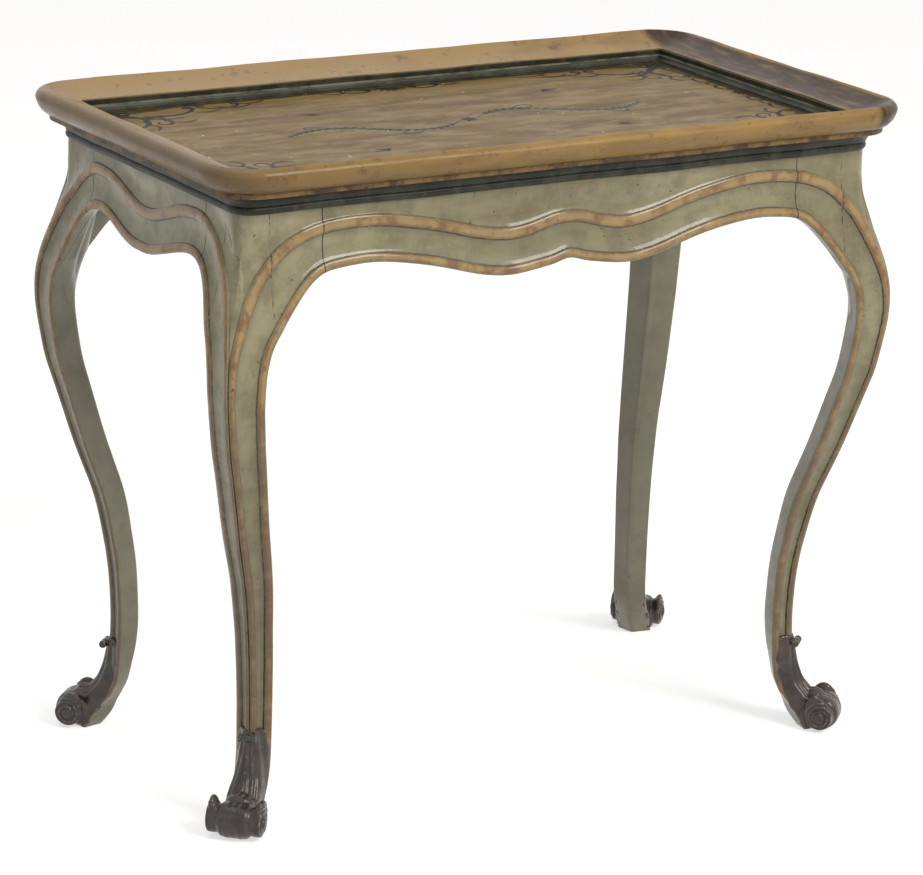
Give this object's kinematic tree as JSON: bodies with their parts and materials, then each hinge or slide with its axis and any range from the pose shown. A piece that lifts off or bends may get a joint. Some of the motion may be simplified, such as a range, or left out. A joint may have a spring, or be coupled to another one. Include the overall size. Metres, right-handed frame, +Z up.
{
  "type": "centre table",
  "caption": "Rectangular wooden centre table with a moulded tray top, serpentine carved aprons and cabriole legs on scroll toes.",
  "frame": {"origin": "on the floor under the middle of the table", "axes": "+X along the table's length, +Y from the front towards the back, +Z up"},
  "size_m": [0.84, 0.48, 0.72],
  "materials": {
    "board_wood": "tan paint with painted scrollwork, worn and streaked, half gloss",
    "rim_wood": "tan and ochre paint, worn, half gloss",
    "moulding_wood": "dark green-black paint, chipped edges",
    "frame_wood": "grey-green paint with ochre beads, worn and cracked",
    "toe_wood": "near-black brown, half gloss",
    "inner_wood": "bare sawn wood"
  },
  "bodies": {
    "root": {"top_board_front": "board_wood", "top_board_middle": "board_wood", "top_board_back": "board_wood", "rim_rail_front": "rim_wood", "rim_rail_back": "rim_wood", "rim_rail_left": "rim_wood", "rim_rail_right": "rim_wood", "rim_corner_front_left": "rim_wood", "rim_corner_front_right": "rim_wood", "rim_corner_back_left": "rim_wood", "rim_corner_back_right": "rim_wood", "inner_moulding_front": "moulding_wood", "inner_moulding_back": "moulding_wood", "inner_moulding_left": "moulding_wood", "inner_moulding_right": "moulding_wood", "under_moulding_front": "moulding_wood", "under_moulding_back": "moulding_wood", "under_moulding_left": "moulding_wood", "under_moulding_right": "moulding_wood", "apron_front": "frame_wood", "apron_back": "frame_wood", "apron_left": "frame_wood", "apron_right": "frame_wood", "knee_bracket_front_left": "frame_wood", "knee_bracket_front_right": "frame_wood", "knee_bracket_back_left": "frame_wood", "knee_bracket_back_right": "frame_wood", "knee_bracket_left_front": "frame_wood", "knee_bracket_left_back": "frame_wood", "knee_bracket_right_front": "frame_wood", "knee_bracket_right_back": "frame_wood", "leg_front_left": "frame_wood", "leg_front_right": "frame_wood", "leg_back_left": "frame_wood", "leg_back_right": "frame_wood", "toe_front_left": "toe_wood", "toe_front_right": "toe_wood", "toe_back_left": "toe_wood", "toe_back_right": "toe_wood", "glue_block_front_left": "inner_wood", "glue_block_front_right": "inner_wood", "glue_block_back_left": "inner_wood", "glue_block_back_right": "inner_wood", "glue_block_left": "inner_wood", "glue_block_right": "inner_wood", "tenon_pegs": "inner_wood", "bracket_dowels": "inner_wood"}
  },
  "joints": []
}
